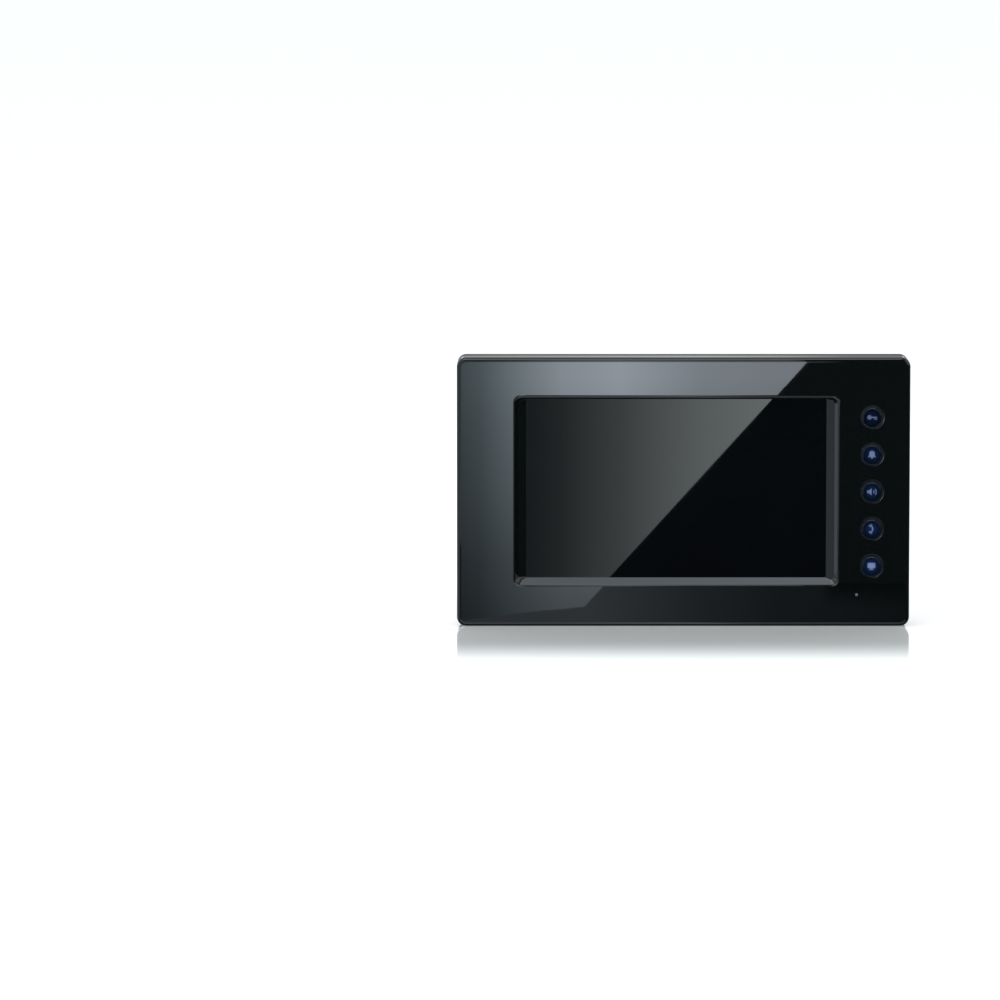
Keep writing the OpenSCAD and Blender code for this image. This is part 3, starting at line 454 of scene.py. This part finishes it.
def front_shell():
    """The gloss front moulding, with its rolled edge and a small round on every opening."""
    mesh = bmesh.new()

    def sized(inset):
        return outline(shell_at, (shell_size[0] - 2 * inset, shell_size[1] - 2 * inset), CORNER - inset)

    foot_round = 0.25 * MM
    round_over = fillet((0, FRONT + EDGE), (EDGE, FRONT), 10) + [(EDGE + BAND, FRONT)]
    foot = fillet((0, SHELL_BACK - foot_round), (foot_round, SHELL_BACK), 3)[::-1]
    outer = loft(mesh, [(sized(SIDE_WALL), FRONT + WALL), (sized(SIDE_WALL), SHELL_BACK)]
                 + [(sized(inset), y) for inset, y in foot + round_over])
    face_loops, back_loops = [outer[-1]], [outer[0]]

    def bezel_opening(grow):
        size = (bezel_size[0] + 2 * grow, bezel_size[1] + 2 * grow)
        return outline(bezel_at, size, BEZEL_CORNER + grow, 10)

    wide_lip, fine_lip = 0.12 * MM, 0.05 * MM
    openings = [(bezel_opening, wide_lip)]
    openings += [(lambda grow, at=at: disc(at, RING_OUT + grow, 72), fine_lip) for at in key_at.values()]
    openings += [(lambda grow: disc(status_at, STATUS_HOLE + grow, 32), fine_lip)]
    for opening, soft in openings:
        near, far = opening_wall(mesh, opening, FRONT, FRONT + WALL, soft)
        face_loops.append(near)
        back_loops.append(far)
    fill(mesh, face_loops)
    fill(mesh, back_loops)
    root, soft, collar = FRONT + WALL - 0.2 * MM, 0.3 * MM, 1.2 * MM
    for bosses, radius, hole, end in shell_bosses():
        for at in bosses:
            lathe(mesh, at, [(0, root), (radius + collar, root), (radius + collar, FRONT + WALL),
                             (radius, FRONT + WALL + collar), (radius, end - soft), (radius - soft, end),
                             (hole, end), (hole, root + 1.0 * MM), (0, root + 0.6 * MM)], 40)
    piece = make("front_shell_moulding", mesh, "monitor", "gloss_black")
    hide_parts("front_shell")


def corners(low, high, inset):
    """The middles of four screws at the corners of their common box."""
    return [(x, z) for x in (low.x + inset, high.x - inset) for z in (low.z + inset, high.z - inset)]


def shell_bosses():
    """Rows of (places, radius, hole, end): bosses for the case, display clips and key board."""
    case_lo, case_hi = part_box("case_screws")
    clip_lo, clip_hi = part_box("clip_screws")
    key_lo, key_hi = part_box("key_board_screws")
    tray_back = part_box("backlight_tray")[1].y
    board_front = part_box("key_board")[0].y
    head, step, gap = 2.6 * MM, 0.5 * MM, 0.05 * MM
    case = [(x, z) for x in (case_lo.x + head, case_hi.x - head)
            for z in (case_lo.z + head + step, case_hi.z - head - step)]
    case += [((case_lo.x + case_hi.x) / 2, z) for z in (case_lo.z + head, case_hi.z - head)]
    return [(case, 3.2 * MM, 1.4 * MM, SHELL_BACK - gap),
            (corners(clip_lo, clip_hi, 2.0 * MM), 3.0 * MM, 1.1 * MM, tray_back - gap),
            (corners(key_lo, key_hi, 2.0 * MM), 2.4 * MM, 1.1 * MM, board_front - gap)]


front_shell()


# ---------------------------------------------------------------- sunk frame around the screen

def sunk_frame():
    """The sloping frame around the window: a rolled outer lip, a steep facet, a ridge and a shallow
    facet down to the window. Above the window it only rolls over and drops."""
    mesh = bmesh.new()
    rim, deep, ridge = 0.05 * MM, window_lo.y - FRONT, 2.2 * MM
    lip_corner = BEZEL_CORNER - rim

    def rolled(radius, steepest, depth):
        """Inset and depth where a roll-over stops, at this depth or at its steepest angle."""
        turn = math.acos(max(1 - (depth - rim) / radius, math.cos(math.radians(steepest))))
        return rim + radius * math.sin(turn), rim + radius * (1 - math.cos(turn))

    def sloped(radius, angle, at_ridge, width, depth):
        """Inset of a rolled lip, then a straight facet to the ridge, then one to the window."""
        inset, reached = rolled(radius, angle, depth)
        if depth <= ridge:
            part = (depth - reached) / max(ridge - reached, 1e-9)
            return inset + (at_ridge - inset) * max(part, 0)
        return at_ridge + (width - at_ridge) * (depth - ridge) / (deep - ridge)

    def level(depth, radius):
        beside = sloped(0.9 * MM, 48, 0.36 * BESIDE, BESIDE, depth)
        above = min(rolled(ABOVE - 0.1 * MM, 88, depth)[0] + 0.05 * MM * depth / deep, ABOVE)
        below = sloped(1.0 * MM, 44, 0.66 * BELOW, BELOW, depth)
        size = (bezel_size[0] - 2 * beside, bezel_size[1] - above - below)
        at = (bezel_at[0], bezel_at[1] + (below - above) / 2)
        return (outline(at, size, radius, 10), FRONT + depth)

    def even(inset, radius, depth):
        size = (bezel_size[0] - 2 * inset, bezel_size[1] - 2 * inset)
        return (outline(bezel_at, size, radius, 10), FRONT + depth)

    lip_depths = [0.06, 0.09, 0.14, 0.20, 0.28, 0.40, 0.60, 0.85, 1.20, 1.60, 2.08, 2.20]
    facet_depths = [2.32, 2.70, 3.10, 3.50]
    ridge_corner, window_corner = 2.4 * MM, 0.6 * MM
    levels = [even(rim, lip_corner, WALL), even(rim, lip_corner, rim)]
    for depth in lip_depths:
        levels.append(level(depth * MM, lip_corner - (lip_corner - ridge_corner) * min(depth / 2.2, 1)))
    for depth in facet_depths:
        part = (depth - 2.2) / 1.4
        levels.append(level(depth * MM, ridge_corner - (ridge_corner - window_corner) * part))
    levels += [level(deep, window_corner), even(-FLANGE, BEZEL_CORNER, deep),
               even(-FLANGE, BEZEL_CORNER, WALL)]
    loft(mesh, levels, ring=True)
    piece = make("sunk_frame", mesh, "monitor", "gloss_black")
    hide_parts("screen_frame")


sunk_frame()


# ---------------------------------------------------------------- wall plate

def wall_plate():
    """Pressed steel: a sheet with rounded front edges, and four hooks bent out of it with real radii."""
    mesh = bmesh.new()
    lo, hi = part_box("wall_plate")
    centre = middle(lo, hi)
    soft = 0.3 * MM
    front, back = hi.y - PLATE, hi.y
    size = (hi.x - lo.x, hi.z - lo.z)

    def outer(grow):
        return outline(centre, (size[0] + 2 * grow, size[1] + 2 * grow), 4 * MM + grow)

    def rounded(x, z, w, h, r):
        """An opening's shape, from its middle, size and corner radius in millimetres."""
        at = (centre[0] + x * MM, centre[1] + z * MM)
        return lambda grow: outline(at, (w * MM + 2 * grow, h * MM + 2 * grow), r * MM + grow, 8)

    hooks = [(x, z) for x in (-45, 45) for z in (18, -30)]
    openings = [rounded(0, -7, 44, 62, 4)]                                    # for the cables
    openings += [rounded(x, 0, 10, 4.4, 2.19) for x in (-30.15, 30.15)]       # wall box slots
    openings += [rounded(x, z, 4.4, 4.4, 2.19) for x in (-57, 57) for z in (-38, 38)]
    openings += [rounded(x, z + 6.2, 13, 12.4, 0.3) for x, z in hooks]        # left by the hooks
    rim = [(outer(-inset), y) for inset, y in fillet((0, front + soft), (soft, front), 4)]
    loops = loft(mesh, [(outer(0), back)] + rim + [(outer(-soft - BAND), front)])
    near, far = [loops[-1]], [loops[0]]
    for shape in openings:
        face_loop, back_loop = opening_wall(mesh, shape, front, back, soft)
        near.append(face_loop)
        far.append(back_loop)
    fill(mesh, near)
    fill(mesh, far)
    for x, z in hooks:
        hook(mesh, centre[0] + (x - 6) * MM, centre[0] + (x + 6) * MM, back, centre[1] + z * MM)
    piece = make("pressed_wall_plate", mesh, "wall_plate", "plate_steel")
    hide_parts("wall_plate")


def hook(mesh, left, right, wall, top):
    """A strip that leaves the sheet as a shelf, and turns up into a tongue with a rounded tip."""
    reach, rise, bend, tip, heel = 7.6 * MM, 6.0 * MM, 1.1 * MM, 0.45 * MM, 0.15 * MM

    def arc(y, z, radius, start, end, steps=6):
        angles = [math.radians(start + (end - start) * i / steps) for i in range(steps + 1)]
        return [(y + radius * math.cos(a), z + radius * math.sin(a)) for a in angles]

    side = [(-PLATE / 2, 0.0), (-PLATE / 2, -PLATE)]
    side += arc(-reach + bend, -PLATE + bend, bend, 270, 180)
    side += arc(-reach + tip, rise - tip, tip, 180, 90)
    side += arc(-reach + PLATE - tip, rise - tip, tip, 90, 0)
    side += arc(-reach + PLATE + heel, heel, heel, 180, 270, 3)
    ends = [[mesh.verts.new((x, wall + y, top + z)) for y, z in side] for x in (left, right)]
    for i in range(len(side)):
        j = (i + 1) % len(side)
        mesh.faces.new((ends[0][i], ends[0][j], ends[1][j], ends[1][i]))
    for end in ends:
        mesh.faces.new(end)


wall_plate()


# ---------------------------------------------------------------- camera

ELEVATION = math.radians(6.8)
DISTANCE = 4.0
VIEW_WIDTH = 0.5076                        # how much the picture takes in at the front face
ASIDE = Vector((-0.0931, 0, -0.0039))      # from the front's middle to what the camera looks at

target = Vector((shell_at[0], FRONT, shell_at[1])) + ASIDE
towards = Vector((0, -math.cos(ELEVATION), math.sin(ELEVATION)))
lens = bpy.data.cameras.new("camera")
lens.sensor_width = 36
lens.lens = lens.sensor_width * DISTANCE / VIEW_WIDTH
lens.clip_end = 50
camera = bpy.data.objects.new("camera", lens)
camera.location = target + DISTANCE * towards
camera.rotation_euler = (-towards).to_track_quat("-Z", "Y").to_euler()
scene.collection.objects.link(camera)
scene.camera = camera


# ---------------------------------------------------------------- studio

scene.view_settings.view_transform = "Standard"
CARD_TINT = "#e6f1fd"                      # cool daylight tubes
COOL_TINT = "#ddf3fd"                      # the soft box's far end
WINDOW_TINT = "#e8f2f3"                    # the soft box as the window shows it
BACKDROP_TINT = "#f3f7f3"


def world():
    """White to the camera and soft even light on surfaces. In gloss it is a bright room, dimmer at
    the horizon, overhead and underfoot, and dark in front of the object, so its face stays black."""
    made = bpy.data.worlds.new("studio")
    made.use_nodes = True
    tree = made.node_tree
    tree.nodes.clear()
    way = add(tree, "SeparateXYZ", {"Vector": add(tree, "TexCoord")["Generated"]})
    rear = add(tree, "MapRange", {"Value": way["Y"], "From Min": 0.0, "From Max": 0.3})[0]
    above = add(tree, "MapRange", {"Value": way["Z"], "From Min": 0.02, "From Max": 0.15})[0]
    across = add(tree, "Math", {0: way["X"]}, operation="ABSOLUTE")[0]
    aside = add(tree, "MapRange", {"Value": across, "From Min": 0.35, "From Max": 0.6})[0]
    edge = add(tree, "MapRange", {"Value": across, "From Min": 0.2, "From Max": 0.45,
                                  "To Min": 1.0, "To Max": 0.4})[0]
    height = add(tree, "MapRange", {"Value": way["Z"], "From Min": -1.0, "From Max": 1.0})[0]
    level = add(tree, "ValToRGB", {"Fac": height},
                [(0.2, 0.4), (0.35, 1.0), (0.45, 0.9), (0.48, 0.3), (0.51, 0.3), (0.53, 1.0),
                 (0.9, 1.0), (0.93, 0.1)])["Color"]
    behind = add(tree, "Math", {0: rear, 1: edge}, operation="MULTIPLY")[0]
    behind = add(tree, "Math", {0: behind, 1: level}, operation="MULTIPLY")[0]
    upper = add(tree, "Math", {0: above, 1: aside}, operation="MULTIPLY")[0]
    lit = add(tree, "Math", {0: behind, 1: upper}, operation="MAXIMUM")[0]
    mirrored = add(tree, "MapRange", {"Value": lit, "To Min": 0.04, "To Max": 1.0})["Result"]
    path = add(tree, "LightPath")
    soft = {0: path["Is Diffuse Ray"], 2: mirrored, 3: 1.15}
    seen = add(tree, "Mix", soft, data_type="FLOAT")[0]
    seen = add(tree, "Mix", {0: path["Is Camera Ray"], 2: seen, 3: 1.0}, data_type="FLOAT")[0]
    light = add(tree, "Background", {"Color": (1, 1, 1, 1), "Strength": seen})
    add(tree, "OutputWorld", {"Surface": light["Background"]})
    scene.world = made


def stage_mesh(name, points, faces, surface, made_of=None):
    """A mesh that belongs to the studio and not to the object. surface(tree) returns its shader."""
    material = bpy.data.materials.new(made_of or name + "_light")
    material.use_nodes = True
    material.node_tree.nodes.clear()
    add(material.node_tree, "OutputMaterial", {"Surface": surface(material.node_tree)})
    data = bpy.data.meshes.new(name)
    data.from_pydata(points, [], faces)
    data.materials.append(material)
    made = bpy.data.objects.new(name, data)
    scene.collection.objects.link(made)
    return made


def floor():
    """White acrylic table that mirrors the object softly, and fades to plain white around it."""
    fade_from, fade_to, mirror_share = 0.05, 0.158, 0.62

    def surface(tree):
        place = add(tree, "SeparateXYZ", {"Vector": add(tree, "TexCoord")["Object"]})
        reach = []
        for axis, low, high in (("X", shell_lo.x, shell_hi.x), ("Y", FRONT, 0.0)):
            off = add(tree, "Math", {0: place[axis], 1: (low + high) / 2}, operation="SUBTRACT")[0]
            size = add(tree, "Math", {0: off}, operation="ABSOLUTE")[0]
            past = add(tree, "Math", {0: size, 1: (high - low) / 2}, operation="SUBTRACT", use_clamp=True)
            reach.append(add(tree, "Math", {0: past[0], 1: 2}, operation="POWER")[0])
        total = add(tree, "Math", {0: reach[0], 1: reach[1]}, operation="ADD")[0]
        distance = add(tree, "Math", {0: total, 1: 0.5}, operation="POWER")[0]
        share = add(tree, "MapRange", {"Value": distance, "From Min": fade_from, "From Max": fade_to,
                                       "To Min": mirror_share, "To Max": 0.0},
                    interpolation_type="SMOOTHSTEP")["Result"]
        matt = add(tree, "BsdfDiffuse", {"Color": (0.885, 0.93, 0.945, 1)})[0]
        gloss = add(tree, "BsdfAnisotropic", {"Color": (1, 1, 1, 1), "Roughness": 0.06})[0]
        return add(tree, "MixShader", {0: share, 1: matt, 2: gloss})[0]

    far, level = 6.0, shell_lo.z - 0.3 * MM
    points = [(x * far, y * far, level) for x, y in ((-1, -1), (1, -1), (1, 1), (-1, 1))]
    table = stage_mesh("table", points, [(0, 1, 2, 3)], surface, "white_acrylic_table")
    table.visible_glossy = False


def only_in_gloss(card):
    card.visible_camera = False
    card.visible_diffuse = False
    card.visible_transmission = False
    card.visible_shadow = False
    card.visible_volume_scatter = False


def on_front(card, away):
    """Places a card drawn in the front face's own x and z so that the face mirrors it at that place."""
    eye = camera.location
    grow = away / (DISTANCE * math.cos(ELEVATION))
    card.scale = (1 + grow, 1, 1 + grow)
    card.location = (-eye.x * grow, FRONT - away, -eye.z * grow)
    only_in_gloss(card)


def low_card():
    """A dim spill of light along the bottom of the front face, past the diagonal edge. Right of the
    sunk frame it rises out of the dark instead of starting at an edge."""
    top, full_from, foot, side = -0.0465, -0.060, -0.09, 0.15

    def surface(tree):
        place = add(tree, "SeparateXYZ", {"Vector": add(tree, "TexCoord")["Object"]})
        across = add(tree, "MapRange", {"Value": place["X"], "From Min": -0.12, "From Max": 0.12})[0]
        level = add(tree, "ValToRGB", {"Fac": across},
                    [(0.0, 0.6), (0.3, 0.72), (0.54, 0.3), (0.7, 0.16), (0.85, 0.12), (1.0, 0.06)])["Color"]
        right = add(tree, "MapRange", {"Value": place["X"], "From Min": 0.070, "From Max": 0.076})[0]
        rise = add(tree, "MapRange", {"Value": place["Z"], "From Min": top, "From Max": full_from})[0]
        share = add(tree, "Mix", {0: right, 2: 1.0, 3: rise}, data_type="FLOAT")[0]
        level = add(tree, "Math", {0: level, 1: share}, operation="MULTIPLY")[0]
        return add(tree, "Emission", {"Color": linear(CARD_TINT), "Strength": level})[0]

    points = [(-side, 0, foot), (side, 0, foot), (side, 0, top), (-side, 0, top)]
    on_front(stage_mesh("low_card", points, [(0, 1, 2, 3)], surface), 1.02)


def diagonal_card():
    """The large soft box that the front face mirrors. Its own x and z are those of the front face,
    so that its slanted edge falls where the face should show it. It is uneven, and the window shows
    its uneven light in another way than the casing, which lies further forward."""
    full_power, soft = 7.6, 1.5 * MM

    def surface(tree):
        place = add(tree, "SeparateXYZ", {"Vector": add(tree, "TexCoord")["Object"]})
        x, z = place["X"], place["Z"]
        across = add(tree, "MapRange", {"Value": x, "From Min": -0.12, "From Max": 0.08})[0]
        up = add(tree, "MapRange", {"Value": z, "From Min": -0.07, "From Max": 0.07})[0]
        casing_x = add(tree, "ValToRGB", {"Fac": across},
                       [(0.0, 0.15), (0.085, 0.27), (0.29, 0.84), (0.44, 1.0), (0.645, 0.68),
                        (0.85, 0.61)])["Color"]
        casing_z = add(tree, "ValToRGB", {"Fac": up},
                       [(0.0, 0.2), (0.25, 0.35), (0.51, 0.6), (0.76, 0.8), (0.92, 1.0)])["Color"]
        window_x = add(tree, "ValToRGB", {"Fac": across},
                       [(0.2, 0.035), (0.29, 0.065), (0.44, 0.17), (0.645, 0.385), (0.85, 0.52)])["Color"]
        casing = add(tree, "Math", {0: casing_x, 1: casing_z}, operation="MULTIPLY")[0]
        inside = 1.0
        for value, low, high in ((x, window_lo.x, window_hi.x), (z, window_lo.z, window_hi.z)):
            off = add(tree, "Math", {0: value, 1: (low + high) / 2}, operation="SUBTRACT")[0]
            size = add(tree, "Math", {0: off}, operation="ABSOLUTE")[0]
            edge = (high - low) / 2 - WINDOW_OVER
            part = add(tree, "MapRange", {"Value": size, "From Min": edge, "From Max": edge + soft,
                                          "To Min": 1.0, "To Max": 0.0})[0]
            inside = add(tree, "Math", {0: inside, 1: part}, operation="MULTIPLY")[0]
        level = add(tree, "Mix", {0: inside, 2: casing, 3: window_x}, data_type="FLOAT")[0]
        power = add(tree, "Math", {0: level, 1: full_power}, operation="MULTIPLY")[0]
        tint = add(tree, "ValToRGB", {"Fac": across}, [(0.1, linear(COOL_TINT)), (0.3, linear(CARD_TINT))])
        tint = add(tree, "Mix", {0: inside, 6: tint["Color"], 7: linear(WINDOW_TINT)}, data_type="RGBA")[2]
        return add(tree, "Emission", {"Color": tint, "Strength": power})[0]

    foot, head, top, side = (-0.0503, -0.0585), (0.0631, 0.0670), 0.09, -0.15
    slope = (head[1] - foot[1]) / (head[0] - foot[0])
    points = [foot, (-0.0610, -0.0597), (-0.0712, -0.0604), (-0.0850, -0.0620), (-0.1032, -0.0645),
              (side, -0.072), (side, top), ((top - head[1]) / slope + head[0], top)]
    on_front(stage_mesh("diagonal_card", [(x, 0, z) for x, z in points], [tuple(range(len(points)))],
                        surface), 1.0)


def plain_card(name, centre, u, v, levels, rise=((-9.0, 1.0), (9.0, 1.0)), tint=CARD_TINT):
    """A rectangle of light, seen only in gloss. u and v run from its centre to its edges, levels are
    (place, strength) stops along the room's x, and rise is such a list of shares along z."""
    brightest = 8.0

    def surface(tree):
        place = add(tree, "SeparateXYZ", {"Vector": add(tree, "TexCoord")["Object"]})
        power = brightest
        for axis, stops, top in (("X", levels, brightest), ("Z", rise, 1.0)):
            low, high = stops[0][0], stops[-1][0]
            part = add(tree, "MapRange", {"Value": place[axis], "From Min": low, "From Max": high})[0]
            share = add(tree, "ValToRGB", {"Fac": part},
                        [((at - low) / (high - low), value / top) for at, value in stops])["Color"]
            power = add(tree, "Math", {0: share, 1: power}, operation="MULTIPLY")[0]
        return add(tree, "Emission", {"Color": linear(tint), "Strength": power})[0]

    c, u, v = Vector(centre), Vector(u), Vector(v)
    points = [tuple(p) for p in (c - u - v, c + u - v, c + u + v, c - u + v)]
    only_in_gloss(stage_mesh(name, points, [(0, 1, 2, 3)], surface))


def area(name, place, aim, size, power):
    """A soft square light."""
    data = bpy.data.lights.new(name, "AREA")
    data.shape, data.size, data.energy = "SQUARE", size, power
    lamp = bpy.data.objects.new(name, data)
    lamp.location = place
    lamp.rotation_euler = (Vector(aim) - Vector(place)).to_track_quat("-Z", "Y").to_euler()
    scene.collection.objects.link(lamp)


world()
floor()
diagonal_card()
low_card()
# The flat top of the casing mirrors this.
plain_card("backdrop_card", (-0.3, 1.2, 0.485), (1.0, 0, 0), (0, 0, 0.325),
           [(-0.3, 0.42), (-0.106, 0.54), (-0.053, 0.65), (0.039, 0.76), (0.092, 0.62), (0.138, 0.36),
            (0.3, 0.27)], tint=BACKDROP_TINT)
# The left rolled edge and the right facets of the sunk frame mirror these.
plain_card("left_card", (-0.9, -0.5, 0.0), (-0.4, 0.5, 0), (0, 0, 0.6),
           [(-1.3, 1.4), (-1.2, 0.55), (-1.18, 2.4), (-1.13, 2.4), (-1.11, 0.55), (-0.95, 0.55),
            (-0.5, 0.72)])
plain_card("left_front_card", (-0.335, -1.0, 0.2), (0.165, 0, 0), (0, 0, 0.35),
           [(-0.5, 0.75), (-0.17, 1.1)])
# The top rolled edge mirrors this one.
plain_card("top_front_card", (-0.06, -1.0, 0.75), (0.16, 0, 0), (0, 0, 0.65),
           [(-0.2, 1.2), (-0.106, 1.9), (-0.081, 3.4), (-0.055, 6.1), (-0.017, 7.9), (0.034, 5.3),
            (0.1, 4.3)],
           [(0.1, 0.8), (0.3, 0.42), (0.5, 0.22), (0.93, 0.12), (1.4, 0.08)])
# The frame's facet below the window mirrors this one.
plain_card("overhead_card", (0, -0.10, 1.0), (0.6, 0, 0), (0, 0.07, 0.01),
           [(-0.6, 2.1), (-0.05, 2.15), (0.1, 2.7), (0.6, 2.7)])
# The frame's lip above the window and the casing's bottom edge mirror this one.
plain_card("table_card", (0, -1.08, -0.4), (0.5, 0, 0), (0, 0.77, 0),
           [(-0.5, 1.1), (-0.07, 1.2), (0.03, 1.8), (0.06, 0.9), (0.5, 0.5)])
area("overhead", (-0.3, -0.6, 1.6), (0, 0, 0), 1.2, 14)
